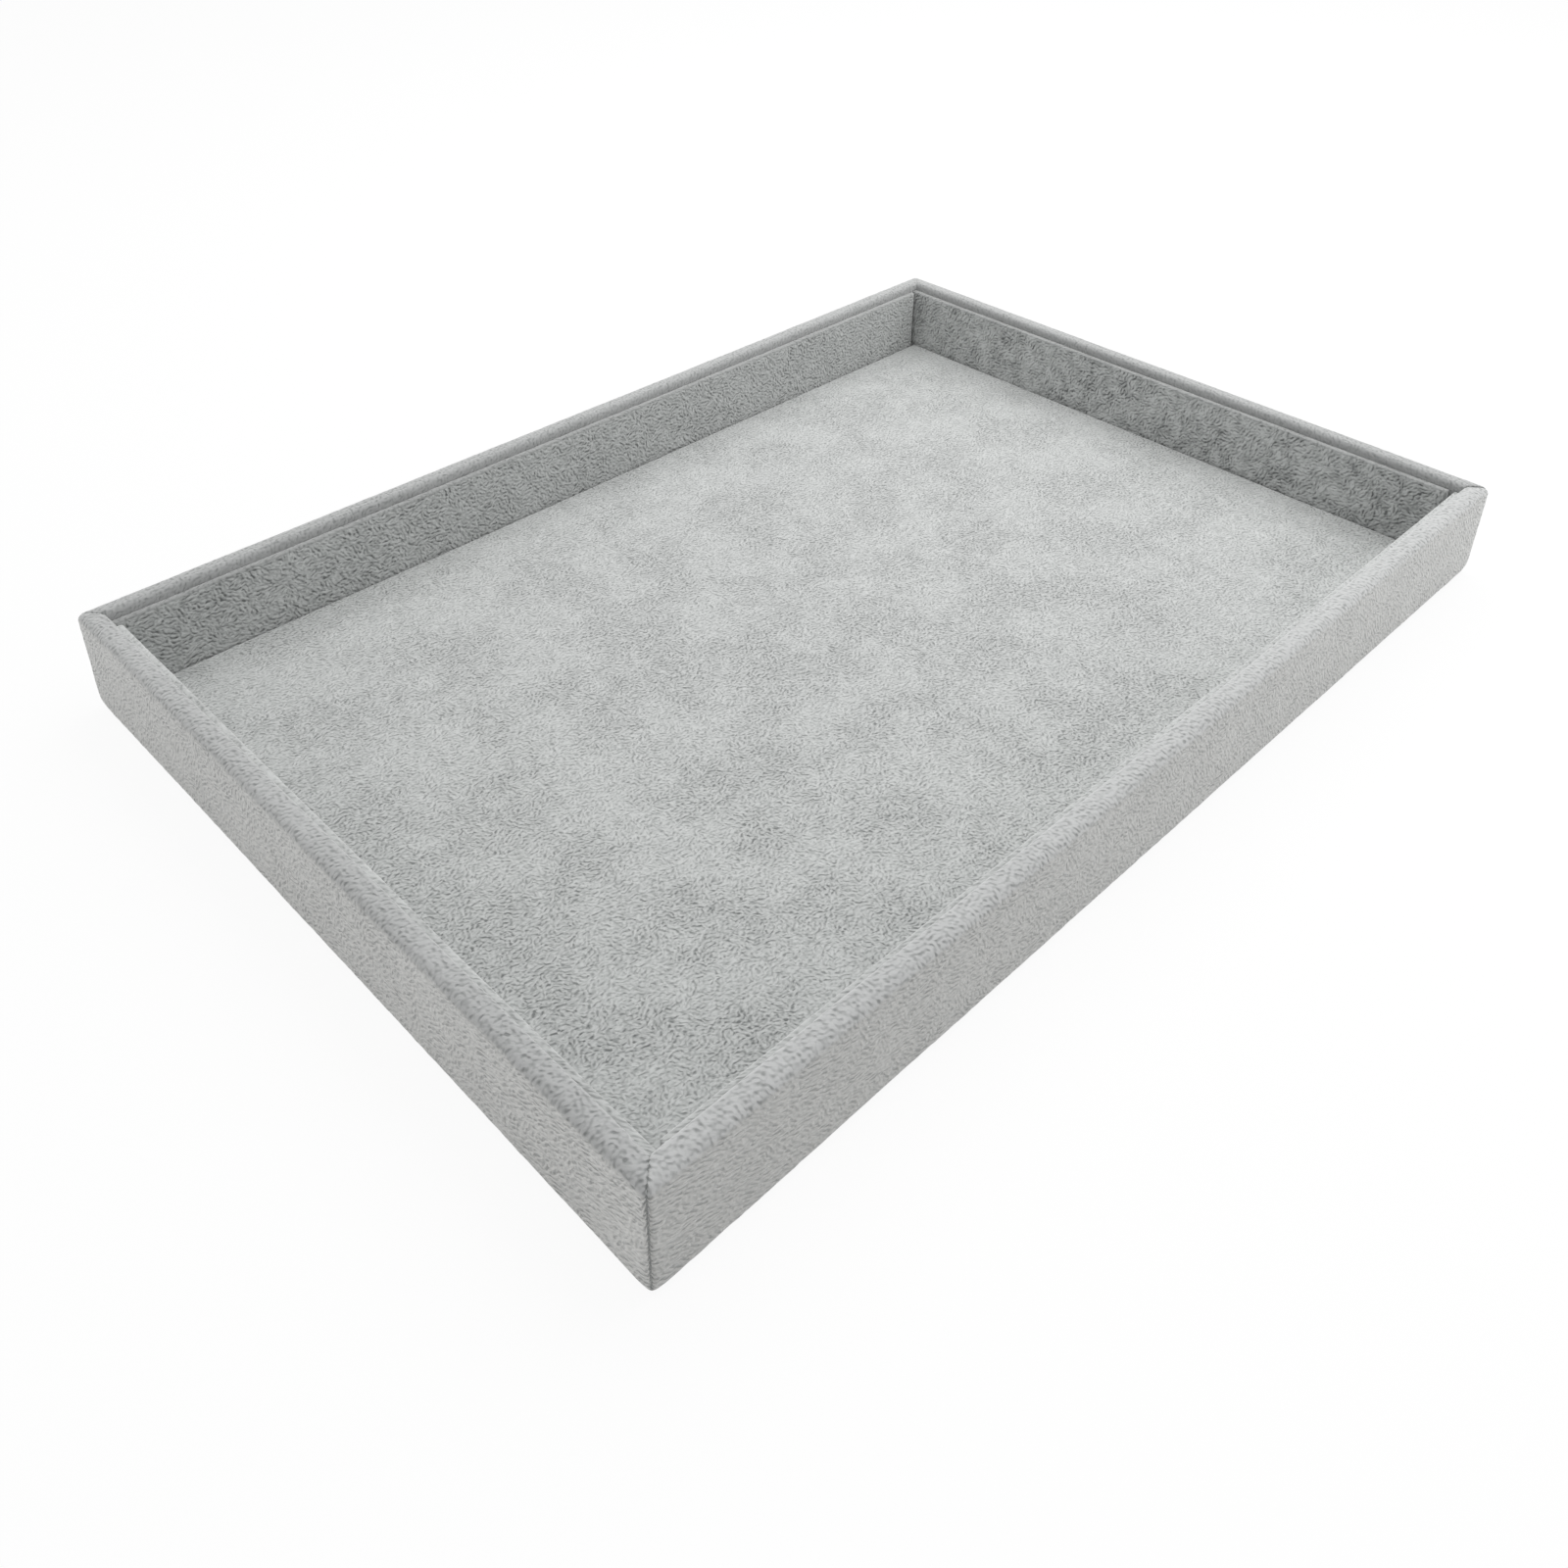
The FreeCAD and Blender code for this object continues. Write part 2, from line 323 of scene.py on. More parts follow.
def rgba(values):
    """An opaque colour."""
    return (*values, 1.0)


def paint(code):
    """An opaque colour, from its sRGB hex value."""
    return rgba(linear(code))


def new_material(name):
    """An empty material and its node tree."""
    material = bpy.data.materials.new(name)
    material.use_nodes = True
    material.node_tree.nodes.clear()
    return material, material.node_tree


def add_surface(tree, inputs):
    """Ends a material's tree in a shader with those inputs."""
    shader = add_node(tree, "BsdfPrincipled", inputs).outputs["BSDF"]
    add_node(tree, "OutputMaterial", {"Surface": shader})


def combed(tree, place, turning, lay, size):
    """Noise drawn out along the nap, which turns to one side or the other in patches."""
    drawn = []
    for angle in (lay.nap, lay.nap - lay.swing / 2, lay.nap + lay.swing / 2):
        along_nap = add_node(tree, "Mapping", {
            "Vector": place, "Rotation": (0.0, 0.0, math.radians(angle)),
            "Scale": (size[0] * PER_MM, size[1] * PER_MM, 1.0),
        }, vector_type="TEXTURE").outputs["Vector"]
        drawn.append(add_node(tree, "TexNoise", {
            "Vector": along_nap, "Scale": 1.0, "Detail": 1.0, "Roughness": 0.5,
        }, noise_dimensions="2D").outputs["Fac"])
    straight, turned_back, turned_on = drawn
    back = ramp(tree, turning, *TURN_BACK, interpolation_type="SMOOTHSTEP")
    on = ramp(tree, turning, *TURN_ON, interpolation_type="SMOOTHSTEP")
    return blend(tree, on, blend(tree, back, straight, turned_back), turned_on)


def pile_hollows(tree, cloth, on_edge, lay):
    """How far down each point of the pile lies, from nought at its top to one at its foot."""
    pile = bpy.context.scene.tray_pile
    stretch = lay.size / (ENDLESS_COMB - lay.comb)
    straying = cloth_noise(tree, cloth, pile.stray, detail=0.0, result="Color")
    aside = calculate(tree, "SUBTRACT", straying, (NOISE_MIDDLE,) * 3, kind="VectorMath")
    stray = (STRAY_SHARE * pile.stray * PER_MM / stretch,) * 3
    strayed = calculate(tree, "MULTIPLY_ADD", aside, stray, cloth, kind="VectorMath")

    turning = cloth_noise(tree, cloth, pile.swirl, detail=1.0)
    turned = wave(tree, turning, SWIRL_SPREAD, 1.0)
    across_nap = math.radians(lay.nap) + QUARTER_TURN
    across = calculate(tree, "MULTIPLY_ADD", turned, math.radians(lay.swing), across_nap)
    rippled = []
    for comb, ripple in ((lay.comb, pile.ripple), (EDGE_COMB * lay.comb, pile.edge_ripple)):
        bundle = (PLAIN_RIPPLES + COMBED_RIPPLES * comb) * lay.size * ripple
        # The texture's orientation in the plane is its socket 4.
        rippled.append(add_node(tree, "TexGabor", {
            "Vector": strayed, "Scale": 1 / (bundle * PER_MM), "Frequency": bundle / (lay.size * ripple),
            "Anisotropy": comb, 4: across,
        }, gabor_type="2D").outputs["Value"])
    ripples = blend(tree, on_edge, *rippled)

    tuft_size = (stretch * pile.tuft_length, lay.size * pile.tuft_width)
    fibre_size = (stretch * pile.fibre_length, lay.size * pile.fibre_width)
    tufts = combed(tree, strayed, turning, lay, tuft_size)
    fibres = combed(tree, strayed, turning, lay, fibre_size)
    curls = cloth_noise(tree, strayed, pile.curl, detail=1.0)
    curled = blend(tree, on_edge, tufts, curls)
    raised = calculate(tree, "ADD", wave(tree, ripples, *RIPPLES), wave(tree, curled, *TUFTS))
    pressed = calculate(tree, "MINIMUM", raised, PRESSED_HEIGHT)
    kept_fibres = ramp(tree, on_edge, 0.0, 1.0, 1.0, EDGE_FIBRES)
    fine = calculate(tree, "MULTIPLY", wave(tree, fibres, *FIBRES), kept_fibres)
    blotched = cloth_noise(tree, strayed, pile.blotch, detail=2.0)
    blotches = wave(tree, blotched, BLOTCH_SPREAD, lay.mottle)
    level = calculate(tree, "ADD", calculate(tree, "ADD", pressed, fine), blotches)
    return ramp(tree, level, PILE_TOP, PILE_FOOT)


def velvet(name, face, edge, crevice_shade, lay):
    """Short-pile polyester velvet, glued to board and brushed by hand.

    The pile lies in small rippled tufts with sunk creases between them, darkened towards the crevice
    colour as painted shade, in patches that were brushed one way or the other. Where the cloth turns over an
    edge its ripples are wider and less combed, and its tufts turn into curls. face is the pile's colour, edge
    its colour on an edge, darkened with painted shade on the walls and linings, crevice the painted shade
    between the tufts, and lay is how it lies.
    """
    pile = bpy.context.scene.tray_pile
    material, tree = new_material(name)
    cloth_map = add_node(tree, "Attribute", attribute_name=CLOTH_MAP, attribute_type="GEOMETRY")
    edge_map = add_node(tree, "Attribute", attribute_name=EDGE_MAP, attribute_type="GEOMETRY")
    cloth = cloth_map.outputs["Vector"]
    on_edge = edge_map.outputs["Fac"]
    crevice_depth_and_shade = add_node(tree, "SeparateXYZ", {0: cloth}).outputs["Z"]
    hollows = pile_hollows(tree, cloth, on_edge, lay)

    patches = cloth_noise(tree, cloth, pile.brushing, detail=4.0)
    brushing = ramp(tree, patches, *PATCH_LEVELS, interpolation_type="SMOOTHSTEP")
    brushed_contrast = (1 - BRUSHED_DEPTH * lay.brushed) * lay.contrast
    contrast = ramp(tree, brushing, 0.0, 1.0, lay.contrast, brushed_contrast)
    # Painted shade in the crevices: the pile is darkened towards the crevice colour by how deep it lies, and
    # the same shade sinks it in the relief.
    opened = calculate(tree, "MULTIPLY", contrast, crevice_depth_and_shade)
    shade = calculate(tree, "MULTIPLY", hollows, opened, use_clamp=True)
    tip = blend_colours(tree, on_edge, rgba(face), rgba(edge))
    shaded = blend_colours(tree, shade, tip, rgba(crevice_shade))
    lighter = BRUSHED_TONE * lay.brushed
    tone = ramp(tree, brushing, 0.0, 1.0, 1 - lighter, 1 + lighter)
    toned = calculate(tree, "MULTIPLY", shaded, tone, kind="VectorMath")

    sunk = calculate(tree, "MULTIPLY", shade, -1.0)
    lean = lay.brushed * pile.lean / pile.depth
    height = calculate(tree, "MULTIPLY_ADD", patches, lean, sunk)
    add_surface(tree, {
        "Base Color": toned, "Roughness": 0.95, "IOR": 1.5, "Specular IOR Level": 0.1,
        "Sheen Weight": 1.0, "Sheen Roughness": 0.6, "Sheen Tint": rgba(pile.sheen),
        "Normal": bump(tree, pile.depth, height),
    })
    return material


def polyurethane_foam():
    """Cut polyurethane foam: pale, soft and full of open cells about half a millimetre wide."""
    cell_mm, cell_depth = 0.6, 0.3 * MM
    material, tree = new_material("polyurethane_foam")
    cells = add_node(tree, "TexVoronoi", {
        "Vector": add_node(tree, "TexCoord").outputs["Object"], "Scale": PER_MM / cell_mm, "Randomness": 1.0,
    }).outputs["Distance"]
    pore_depth_and_shade = ramp(tree, cells, begin=0.0, full=0.5)
    add_surface(tree, {
        # Painted shade: the colour darkens into the hollow of each cell.
        "Base Color": blend_colours(tree, pore_depth_and_shade, paint("#C9C4B2"), paint("#ECE8DA")),
        "Roughness": 0.9, "Specular IOR Level": 0.2, "Normal": bump(tree, cell_depth, pore_depth_and_shade),
    })
    return material


def needle_felt():
    """Needle-punched felt: dark grey, matted fibres with a faint speckle."""
    fibre_mm, clump_mm, clump_share, fibre_depth = 0.7, 6.0, 0.4, 0.2 * MM
    material, tree = new_material("needle_felt")
    fibres = solid_noise(tree, fibre_mm, detail=4.0, roughness=0.7, distortion=1.2)
    clumps = solid_noise(tree, clump_mm, detail=2.0)
    clumped = calculate(tree, "MULTIPLY_ADD", clumps, clump_share, fibres)
    matted = ramp(tree, clumped, begin=0.45, full=0.95)
    add_surface(tree, {
        "Base Color": blend_colours(tree, matted, paint("#4E5050"), paint("#7E8180")),
        "Roughness": 0.95, "Specular IOR Level": 0.15, "Sheen Weight": 0.2, "Sheen Roughness": 0.5,
        "Normal": bump(tree, fibre_depth, fibres),
    })
    return material


def pressed_board(name, fibre_mm, light, dark, fleck, fleck_share):
    """Board pressed from fibres: a matt face with fine speckle and a few darker flecks."""
    fleck_mm, fibre_depth = 3 * fibre_mm, 0.05 * MM
    material, tree = new_material(name)
    fibres = solid_noise(tree, fibre_mm, detail=5.0, roughness=0.65, distortion=0.6)
    flecks = solid_noise(tree, fleck_mm, detail=2.0, roughness=0.6)
    speckle = ramp(tree, fibres, begin=0.3, full=0.7)
    speckled = blend_colours(tree, speckle, paint(dark), paint(light))
    spots = ramp(tree, flecks, begin=0.64, full=0.72, high=fleck_share)
    add_surface(tree, {
        "Base Color": blend_colours(tree, spots, speckled, paint(fleck)),
        "Roughness": 0.8, "Specular IOR Level": 0.3, "Normal": bump(tree, fibre_depth, fibres),
    })
    return material


def drawn_steel():
    """Bright drawn wire: steel with fine lines and a little uneven gloss."""
    line_mm = 0.15
    material, tree = new_material("drawn_steel_wire")
    lines = solid_noise(tree, line_mm, detail=3.0, roughness=0.6)
    add_surface(tree, {
        "Base Color": blend_colours(tree, lines, paint("#8F9294"), paint("#C4C7C9")),
        "Metallic": 1.0, "Roughness": ramp(tree, lines, 0.0, 1.0, low=0.22, high=0.5),
    })
    return material


def unit(angle):
    """The direction at an angle."""
    return np.array([math.cos(angle), math.sin(angle)])


def quarter(radius):
    """The length of a quarter turn of that radius."""
    return radius * QUARTER_TURN


def trace(start, heading, runs):
    """Follows the cloth round a section that only ever turns right, a quarter turn at each round.

    start is a point of the section and heading an angle. Each run is (length, radius, cell), with no
    radius where it is straight. Gives rows of point, outward normal and length along the cloth.
    """
    point = np.array(start)
    travelled = 0.0
    rows = [(*point, *unit(heading + QUARTER_TURN), travelled)]
    for run, radius, cell in runs:
        begin = point
        turned = heading
        steps = max(1, round(run / cell))
        for step in range(1, steps + 1):
            share = step / steps
            if radius:
                turned = heading - share * QUARTER_TURN
                point = begin + radius * (unit(turned + QUARTER_TURN) - unit(heading + QUARTER_TURN))
            else:
                point = begin + share * run * unit(heading)
            rows.append((*point, *unit(turned + QUARTER_TURN), travelled + share * run))
        travelled += run
        heading = turned
    return np.array(rows)


def set_cloth_maps(piece, along, across, crevice_depth_and_shade, on_edge, number):
    """Stores where each point of the cloth lay when it was flat, how deep its crevices are in relief and in
    painted shade, and the edges.
    """
    flat = np.stack([along * PER_MM + number * PIECE_SPACING, across * PER_MM, crevice_depth_and_shade], axis=1)
    cloth = piece.data.attributes.new(CLOTH_MAP, "FLOAT_VECTOR", "POINT")
    cloth.data.foreach_set("vector", flat.astype(np.float32).ravel())
    edge = piece.data.attributes.new(EDGE_MAP, "FLOAT", "POINT")
    edge.data.foreach_set("value", on_edge.astype(np.float32))


def points_of(piece):
    """The points of a mesh, one to a row."""
    flat = np.empty(len(piece.data.vertices) * 3)
    piece.data.vertices.foreach_get("co", flat)
    return flat.reshape(-1, 3)


def move_points(piece, points):
    """Moves the points of a mesh to new places."""
    piece.data.vertices.foreach_set("co", points.ravel())
    piece.data.update()


def name_new_piece(name):
    """Names the piece that was just added, and its mesh."""
    piece = bpy.context.object
    piece.name = name
    piece.data.name = name
    return piece


def new_grid(name, columns, rows):
    """A flat grid with that many faces each way, alone in the selection."""
    bpy.ops.object.select_all(action="DESELECT")
    bpy.ops.mesh.primitive_grid_add(x_subdivisions=columns, y_subdivisions=rows, size=1.0, calc_uvs=False)
    return name_new_piece(name)


def apply_modifier(piece, name, kind, **settings):
    """Adds a modifier with those settings and applies it to the mesh."""
    modifier = piece.modifiers.new(name, kind)
    for key, value in settings.items():
        setattr(modifier, key, value)
    bpy.ops.object.modifier_apply(modifier=name)


def raise_relief(piece, name, relief, spread, mid_level):
    """Moves the faces of a mesh in and out by a procedural cloud pattern."""
    pattern = bpy.data.textures.get(name) or bpy.data.textures.new(name, "CLOUDS")
    pattern.noise_scale = spread
    pattern.noise_depth = 1
    apply_modifier(
        piece, name, "DISPLACE",
        texture=pattern, strength=relief, mid_level=mid_level, texture_coords="LOCAL",
    )


def give_nap(piece):
    """Raises the cloth's tufts and its slow unevenness in the mesh, then gives it its thickness."""
    wraps = bpy.context.scene.tray_wraps
    raise_relief(piece, "tufts", wraps.tuft_relief, wraps.tuft_spread, mid_level=0.5)
    raise_relief(piece, "sway", wraps.sway_relief, wraps.sway_spread, mid_level=0.5)
    apply_modifier(piece, "thickness", "SOLIDIFY", thickness=wraps.cloth, offset=-1.0)
    bpy.ops.object.shade_smooth()


def dress(piece, body, slot, material, *nodes):
    """Puts a finished piece on its body, in place of its solids."""
    piece.data.materials.clear()
    piece.data.materials.append(material)
    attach(piece, body)
    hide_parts(*nodes)


def along_and_across(wall, size):
    """A size along x and y, given along and across a wall."""
    return (size.x, size.y) if wall in ("front", "rear") else (size.y, size.x)


def turn_to(wall):
    """The angle by which a wall is turned from the front of the tray."""
    return WALLS.index(wall) * QUARTER_TURN


class TRAY_OT_wrap_walls(bpy.types.Operator):
    """Wrap each wall in its own velvet, from under its bottom edge over the rim to the tray's floor"""

    bl_idname = "tray.wrap_walls"
    bl_label = "Wrap the walls"

    def execute(self, context):
        wraps = context.scene.tray_wraps
        pile = context.scene.tray_pile
        for number, wall in enumerate(WALLS):
            # Painted shade: each wall's face and rim colours are darkened by its shade tones.
            face_shade_tone, rim_shade_tone = WALL_SHADE_TONES[wall]
            face = [face_shade_tone * share for share in pile.outside]
            rim = [rim_shade_tone * share for share in pile.rim]
            name = "combed_velvet_%s_wall" % wall
            finish = velvet(name, face, rim, pile.crevice_shade, WALL_LAYS[wall])
            self.wrap(wraps, wall, number, finish)
        return {"FINISHED"}

    def section(self, wraps, low, high):
        """Rows of the cloth round a wall, from its hem up the outside and over the rim to the floor."""
        bottom, top, depth = low.z, high.z, high.y - low.y
        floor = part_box("base_board")[1].z
        return trace((wraps.bottom_edge + wraps.wall_hem, bottom), math.pi, [
            (wraps.wall_hem, None, wraps.hidden_cell),
            (quarter(wraps.bottom_edge), wraps.bottom_edge, wraps.round_cell),
            (top - bottom - wraps.bottom_edge - wraps.rim_outer, None, wraps.cell),
            (quarter(wraps.rim_outer), wraps.rim_outer, wraps.round_cell),
            (depth - wraps.rim_outer - wraps.rim_inner, None, wraps.round_cell),
            (quarter(wraps.rim_inner), wraps.rim_inner, wraps.round_cell),
            (wraps.bare_rim, None, wraps.round_cell),
            (top - wraps.rim_inner - wraps.bare_rim - floor, None, wraps.hidden_cell),
        ])

    def columns(self, wraps, half_length):
        """Columns of the cloth along a wall. At each end it rolls over the seam's lip and runs down into it.

        Gives each column's share of the half length, the end that it belongs to, how far it lies from
        that end, and how far it sinks.
        """
        roll = wraps.seam_roll
        lip = [(roll * s, roll - math.sqrt(roll ** 2 - (roll - roll * s) ** 2)) for s in LIP_SHARES]
        ends = [(0.0, roll + wraps.seam_depth)] + lip
        inner = 2 * round((half_length - roll) / wraps.cell)
        left = [(-1.0, -1.0, inset, sink) for inset, sink in ends]
        middle = [(share, 0.0, roll, 0.0) for share in np.linspace(-1.0, 1.0, inner + 1)]
        right = [(1.0, 1.0, inset, sink) for inset, sink in reversed(ends)]
        return np.array(left + middle + right).T

    def wrap(self, wraps, wall, number, material):
        """Wraps one wall, with its maps, its nap and its place in the tray."""
        low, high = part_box("front_wall_cover")
        half_length, half_depth = along_and_across(wall, CAD_BOX[1])
        roll = wraps.seam_roll
        rows = self.section(wraps, low, high)
        depths, heights, normals_in, normals_up, along_cloth = rows.T[:, :, None]
        share, side, inset, sink = self.columns(wraps, half_length)

        # On top of the rim the pile closes over the seam, and inside and under the wall there is none.
        closing = np.where(side < 0, *SEAM_CLOSING[wall]) * np.clip(normals_up, 0.0, 1.0)
        hidden = np.clip(np.maximum(normals_in, -normals_up), 0.0, 1.0)
        open_share = 1 - np.maximum(closing, hidden)
        near_bottom = np.clip(1 - (heights - low.z) / wraps.ease_reach, 0.0, 1.0) ** 2
        sink = sink * open_share * (1 - near_bottom)
        inward = depths - sink * normals_in
        upward = heights - sink * normals_up
        reach = half_length - inward + wraps.seam_press * (1 - near_bottom)
        along = share * (reach - roll) + side * (roll - inset)

        # At the bottom of each corner the fold of the cloth closes the seam and is eased in.
        ease = np.where(along < 0, *(MM * e for e in CORNER_EASE[wall])) * near_bottom
        ease *= np.clip(1 - (half_length - np.abs(along)) / wraps.ease_reach, 0.0, 1.0) ** 2
        along -= np.sign(along) * ease
        inward += ease
        piece = new_grid(wall + "_wall_velvet", len(share) - 1, len(rows) - 1)
        move_points(piece, np.stack([along, inward - half_depth, upward], axis=-1))
        piece.data.transform(Matrix.Rotation(turn_to(wall), 4, "Z"))

        flat_along = share * (half_length - depths - roll) + side * (roll - inset + sink)
        # Painted shade along each corner seam: the crevices darken most at the seam's bottom and fade out a
        # seam shade away.
        seam = np.interp(inset, (wraps.seam_press, wraps.seam_shade), (SEAM_CREVICE_SHADE, 0.0))
        crevice_depth_and_shade = np.interp(normals_in, *WALL_CREVICE_DEPTH_AND_SHADE) + seam * open_share
        above = heights > low.z + wraps.bottom_edge
        on_edge = np.where(above, np.interp(normals_in, *WALL_EDGE), 0.0)
        maps = np.broadcast_arrays(flat_along, along_cloth, crevice_depth_and_shade, on_edge)
        set_cloth_maps(piece, *(values.ravel() for values in maps), number)
        give_nap(piece)
        dress(piece, "tray", "velvet", material, wall + "_wall_cover")


def map_panel(piece, rows, half, face, number):
    """Stores the maps of a panel's cloth, with each ring round its edges laid flat again."""
    points = points_of(piece)
    flat = points[:, :2].copy()
    on_edge = np.zeros(len(points))
    for offset, level, _, _, along in rows[1:]:
        ring = np.add(half, offset)
        beside = (np.abs(np.abs(points[:, :2]) - ring) < RING_TOLERANCE).any(axis=1)
        on_ring = beside & (np.abs(points[:, 2] - level) < RING_TOLERANCE)
        flat[on_ring] = points[on_ring, :2] * (np.add(face, along) / ring)
        on_edge[on_ring] = 1.0
    crevice_depth_and_shade = np.where(on_edge > 0, PANEL_EDGE_CREVICE_DEPTH_AND_SHADE, 1.0)
    set_cloth_maps(piece, flat[:, 0], flat[:, 1], crevice_depth_and_shade, on_edge, number)


def wrap_panel(name, width, height, thickness, hem, cell, number):
    """Cloth wrapped round a flat panel: its face, its rounded edges and a hem turned behind it.

    The panel lies on its back, centred on the origin, with its face up. Gives the piece and the size of
    its cloth when it lay flat.
    """
    wraps = bpy.context.scene.tray_wraps
    radius = wraps.panel_edge
    half = (width / 2, height / 2)
    rows = trace((-radius, thickness), 0.0, [
        (quarter(radius), radius, wraps.round_cell),
        (thickness - 2 * radius, None, wraps.round_cell),
        (quarter(radius), radius, wraps.round_cell),
        (hem - radius, None, wraps.hidden_cell),
    ])
    face = Vector((half[0] - radius, half[1] - radius))
    piece = new_grid(name, round(2 * face.x / cell), round(2 * face.y / cell))
    bpy.ops.transform.resize(value=(2 * face.x, 2 * face.y, 1.0), center_override=(0, 0, 0))
    bpy.ops.transform.translate(value=(0, 0, thickness))
    bpy.ops.object.transform_apply(location=True, rotation=True, scale=True)
    bpy.ops.object.mode_set(mode="EDIT")
    bpy.ops.mesh.select_all(action="SELECT")
    bpy.ops.mesh.region_to_loop()
    for (before, low, *_), (after, high, *_) in zip(rows[:-1], rows[1:]):
        bpy.ops.mesh.extrude_edges_move(TRANSFORM_OT_translate={"value": (0, 0, high - low)})
        ratio = [(side + after) / (side + before) for side in half]
        bpy.ops.transform.resize(value=(*ratio, 1.0), center_override=(0, 0, 0))
    bpy.ops.object.mode_set(mode="OBJECT")
    map_panel(piece, rows, half, face, number)
    wrapped = float(rows[-1, -1])
    return piece, (2 * (face.x + wrapped), 2 * (face.y + wrapped))


class TRAY_OT_line_walls(bpy.types.Operator):
    """Cover the lining panel inside each wall"""

    bl_idname = "tray.line_walls"
    bl_label = "Line the walls"

    def execute(self, context):
        wraps = context.scene.tray_wraps
        pile = context.scene.tray_pile
        face_inward = Matrix.Rotation(QUARTER_TURN, 4, "X")
        for number, wall in enumerate(WALLS, len(WALLS)):
            low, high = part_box(wall + "_liner_cover")
            span = high - low
            along, across = along_and_across(wall, span)
            piece, flat = wrap_panel(
                wall + "_lining_velvet", along, span.z, across, wraps.liner_hem, wraps.cell, number
            )
            turn = Matrix.Rotation(turn_to(wall) + math.pi, 4, "Z")
            piece.data.transform(turn @ face_inward)
            back = turn @ Vector((0, across / 2, 0))
            piece.data.transform(Matrix.Translation((low + high) / 2 + back))
            give_nap(piece)
            # Painted shade along the lining's edges, darkest on the rear and right linings, whose tops face
            # the light.
            edge = [LINING_EDGE_SHADE_TONES[wall] * share for share in pile.lining]
            name = "combed_velvet_%s_lining" % wall
            finish = velvet(name, pile.lining, edge, pile.lining_crevice_shade, LINING_LAYS[wall])
            dress(piece, "tray", "velvet", finish, wall + "_liner_cover")
        return {"FINISHED"}


class TRAY_OT_fill_floor_pad(bpy.types.Operator):
    """Lay the thin foam on the floor pad's board"""

    bl_idname = "tray.fill_floor_pad"
    bl_label = "Fill the floor pad"

    def execute(self, context):
        low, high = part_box("pad_foam")
        span = high - low
        eased_edge, cell = 0.3 * MM, 3.0 * MM
        unevenness, uneven_spread = 0.15 * MM, 9 * MM
        bpy.ops.object.select_all(action="DESELECT")
        bpy.ops.mesh.primitive_cube_add(size=1.0, location=(low + high) / 2, scale=span, calc_uvs=False)
        piece = name_new_piece("floor_pad_foam")
        bpy.ops.object.transform_apply(location=True, rotation=True, scale=True)
        apply_modifier(piece, "eased_edges", "BEVEL", width=eased_edge, segments=2)
        bpy.ops.object.mode_set(mode="EDIT")
        for axis, size in enumerate((span.x, span.y)):
            count = round(size / cell)
            for step in range(1, count):
                place = [0.0, 0.0, 0.0]
                place[axis] = low[axis] + size * step / count
                normal = [0.0, 0.0, 0.0]
                normal[axis] = 1.0
                bpy.ops.mesh.select_all(action="SELECT")
                bpy.ops.mesh.bisect(plane_co=place, plane_no=normal)
        bpy.ops.object.mode_set(mode="OBJECT")
        raise_relief(piece, "foam_unevenness", unevenness, uneven_spread, mid_level=1.0)
        bpy.ops.object.shade_smooth_by_angle()
        dress(piece, "floor_pad", "foam", polyurethane_foam(), "pad_foam")
        return {"FINISHED"}


class TRAY_OT_cover_floor_pad(bpy.types.Operator):
    """Cover the floor pad, with a hem turned under its board"""

    bl_idname = "tray.cover_floor_pad"
    bl_label = "Cover the floor pad"

    def execute(self, context):
        wraps = context.scene.tray_wraps
        pile = context.scene.tray_pile
        low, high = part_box("pad_cover")
        span = high - low
        piece, flat = wrap_panel(
            "floor_pad_velvet", span.x, span.y, span.z, wraps.pad_hem, wraps.floor_cell, 2 * len(WALLS)
        )
        piece.data.transform(Matrix.Translation((low + high) / 2 - Vector((0, 0, span.z / 2))))
        give_nap(piece)
        finish = velvet("combed_velvet_floor", pile.floor, pile.floor, pile.crevice_shade, FLOOR_LAY)
        dress(piece, "floor_pad", "velvet", finish, "pad_cover")
        return {"FINISHED"}


class TRAY_OT_felt_underside(bpy.types.Operator):
    """Glue the felt sheet under the base"""

    bl_idname = "tray.felt_underside"
    bl_label = "Felt the underside"

    def execute(self, context):
        low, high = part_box("bottom_sheet")
        span = high - low
        corner, soft_edge = 3.0 * MM, 0.12 * MM
        bpy.ops.object.select_all(action="DESELECT")
        bpy.ops.mesh.primitive_plane_add(size=1.0, calc_uvs=False)
        piece = name_new_piece("underside_felt")
        move_points(piece, points_of(piece) * [span.x, span.y, 1.0] + [0, 0, low.z])
        bpy.ops.object.mode_set(mode="EDIT")
        bpy.ops.mesh.select_all(action="SELECT")
        bpy.ops.mesh.bevel(offset=corner, segments=6, affect="VERTICES")
        bpy.ops.mesh.select_all(action="SELECT")
        bpy.ops.mesh.extrude_region_move(TRANSFORM_OT_translate={"value": (0, 0, span.z)})
        bpy.ops.mesh.select_all(action="SELECT")
        bpy.ops.mesh.normals_make_consistent(inside=False)
        bpy.ops.object.mode_set(mode="OBJECT")
        apply_modifier(piece, "soft_edge", "BEVEL", width=soft_edge, segments=2, limit_method="ANGLE")
        bpy.ops.object.shade_smooth_by_angle()
        dress(piece, "tray", "underside_felt", needle_felt(), "bottom_sheet")
        return {"FINISHED"}


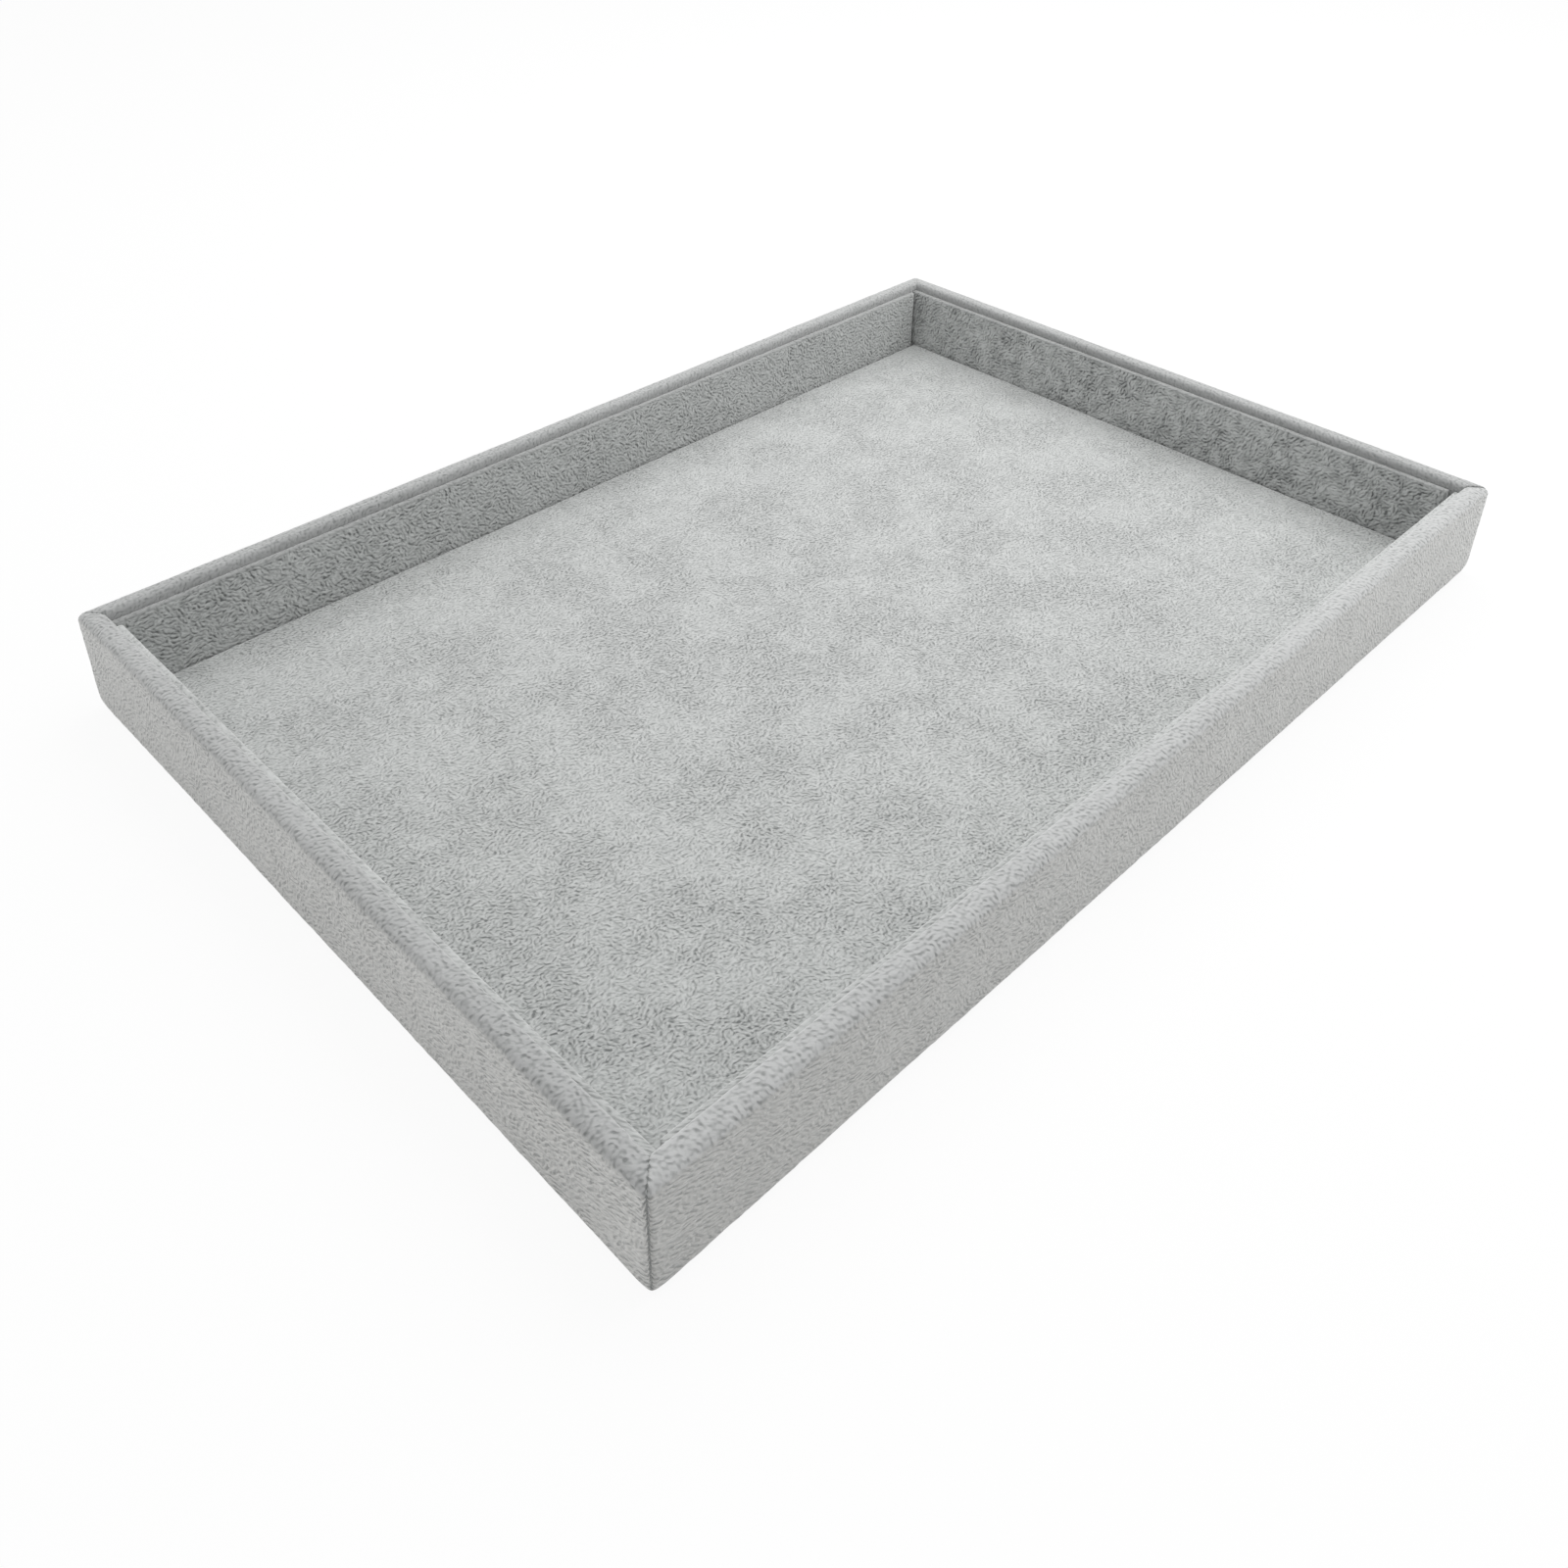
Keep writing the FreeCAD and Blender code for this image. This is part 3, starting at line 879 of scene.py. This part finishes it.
class TRAY_OT_finish_boards(bpy.types.Operator):
    """Give the boards and the pins inside the tray their finish"""

    bl_idname = "tray.finish_boards"
    bl_label = "Finish the boards and pins"

    def execute(self, context):
        raw_board = pressed_board(
            "raw_fibreboard", fibre_mm=0.8, light="#B08E66", dark="#8C6B48", fleck="#6B4E33",
            fleck_share=0.6,
        )
        dyed_board = pressed_board(
            "grey_dyed_fibreboard", fibre_mm=0.8, light="#9A9893", dark="#7A7874", fleck="#5A5855",
            fleck_share=0.6,
        )
        greyboard = pressed_board(
            "recycled_greyboard", fibre_mm=1.2, light="#A6A29A", dark="#87837B", fleck="#5F5B55",
            fleck_share=0.7,
        )
        steel = drawn_steel()
        finishes = {
            "base_board": dyed_board, "pad_board": greyboard, "corner_brads": steel, "base_brads": steel,
        }
        for wall in WALLS:
            finishes[wall + "_wall_core"] = raw_board
            finishes[wall + "_liner_board"] = greyboard
        for node, material in finishes.items():
            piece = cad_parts[node]
            piece.data.materials.clear()
            piece.data.materials.append(material)
        return {"FINISHED"}


class TRAY_OT_set_stage(bpy.types.Operator):
    """Set the paper floor, the light and the camera"""

    bl_idname = "tray.set_stage"
    bl_label = "Set the stage"

    def execute(self, context):
        stage = context.scene.tray_stage
        self.lay_paper(context, stage)
        self.light(context, stage)
        self.aim_camera(context)
        context.scene.view_settings.view_transform = "Standard"
        return {"FINISHED"}

    def seen(self, tree):
        """One where a camera, mirror or glass looks straight at it, nought for all other light."""
        path = add_node(tree, "LightPath").outputs
        direct = calculate(tree, "MAXIMUM", path["Is Camera Ray"], path["Is Glossy Ray"])
        return calculate(tree, "MAXIMUM", direct, path["Is Transmission Ray"])

    def lay_paper(self, context, stage):
        """Lays the floor paper, which catches the tray's shadow."""
        bpy.ops.object.select_all(action="DESELECT")
        bpy.ops.mesh.primitive_plane_add(size=PAPER_SIZE, location=(0, 0, -PAPER_DROP), calc_uvs=False)
        paper = context.object
        paper.name = "paper_floor"
        material, tree = new_material("seamless_paper")
        matt = add_node(tree, "BsdfDiffuse", {"Color": rgba(stage.paper)}).outputs[0]
        white = add_node(tree, "Emission", {"Color": (1, 1, 1, 1), "Strength": 1.0}).outputs[0]
        share = calculate(tree, "MULTIPLY", self.seen(tree), PAPER_WHITE)
        mixed = add_node(tree, "MixShader", {0: share, 1: matt, 2: white}).outputs[0]
        add_node(tree, "OutputMaterial", {"Surface": mixed})
        paper.data.materials.append(material)

    def light(self, context, stage):
        """Lights the tray from all round and from a softbox overhead."""
        world = bpy.data.worlds.new("white_room")
        world.use_nodes = True
        tree = world.node_tree
        tree.nodes.clear()
        level = ramp(tree, self.seen(tree), 0.0, 1.0, stage.sky, 1.0)
        sky = add_node(tree, "Background", {"Color": (1, 1, 1, 1), "Strength": level}).outputs[0]
        add_node(tree, "OutputWorld", {"Surface": sky})
        context.scene.world = world
        bpy.ops.object.light_add(type="AREA", location=SOFTBOX_PLACE)
        lamp = context.object
        lamp.name = "overhead_softbox"
        lamp.data.shape = "RECTANGLE"
        lamp.data.size = SOFTBOX_SIZE
        lamp.data.size_y = SOFTBOX_SIZE
        lamp.data.energy = stage.lamp

    def aim_camera(self, context):
        """Puts the camera over the near corner, as in the photo."""
        place = [c * MM for c in CAMERA_PLACE]
        angles = [math.radians(a) for a in CAMERA_ANGLES]
        bpy.ops.object.camera_add(location=place, rotation=angles)
        camera = context.object
        camera.name = "photo_camera"
        camera.data.sensor_width = CAMERA_SENSOR
        camera.data.lens = CAMERA_LENS
        camera.data.shift_x, camera.data.shift_y = CAMERA_SHIFT
        camera.data.clip_start = CAMERA_CLIP
        context.scene.camera = camera


class VIEW3D_PT_jewelry_tray(bpy.types.Panel):
    """The tray's steps and sizes, in the 3D view's sidebar"""

    bl_label = "Jewelry Tray"
    bl_idname = "VIEW3D_PT_jewelry_tray"
    bl_space_type = "VIEW_3D"
    bl_region_type = "UI"
    bl_category = "Jewelry Tray"

    def draw(self, context):
        for step in STEPS:
            self.layout.operator(step.bl_idname)
        for group, kind in GROUPS.items():
            box = self.layout.box()
            box.label(text=kind.__doc__)
            for name in kind.__annotations__:
                box.prop(getattr(context.scene, group), name)


STEPS = (
    TRAY_OT_wrap_walls,
    TRAY_OT_line_walls,
    TRAY_OT_fill_floor_pad,
    TRAY_OT_cover_floor_pad,
    TRAY_OT_felt_underside,
    TRAY_OT_finish_boards,
    TRAY_OT_set_stage,
)


def register():
    for kind in (*GROUPS.values(), *STEPS, VIEW3D_PT_jewelry_tray):
        bpy.utils.register_class(kind)
    for name, kind in GROUPS.items():
        setattr(bpy.types.Scene, name, PointerProperty(type=kind))


def unregister():
    for name in GROUPS:
        delattr(bpy.types.Scene, name)
    for kind in reversed((*GROUPS.values(), *STEPS, VIEW3D_PT_jewelry_tray)):
        bpy.utils.unregister_class(kind)


def main():
    register()
    bpy.ops.tray.wrap_walls()
    bpy.ops.tray.line_walls()
    bpy.ops.tray.fill_floor_pad()
    bpy.ops.tray.cover_floor_pad()
    bpy.ops.tray.felt_underside()
    bpy.ops.tray.finish_boards()
    bpy.ops.tray.set_stage()


if __name__ == "__main__":
    main()
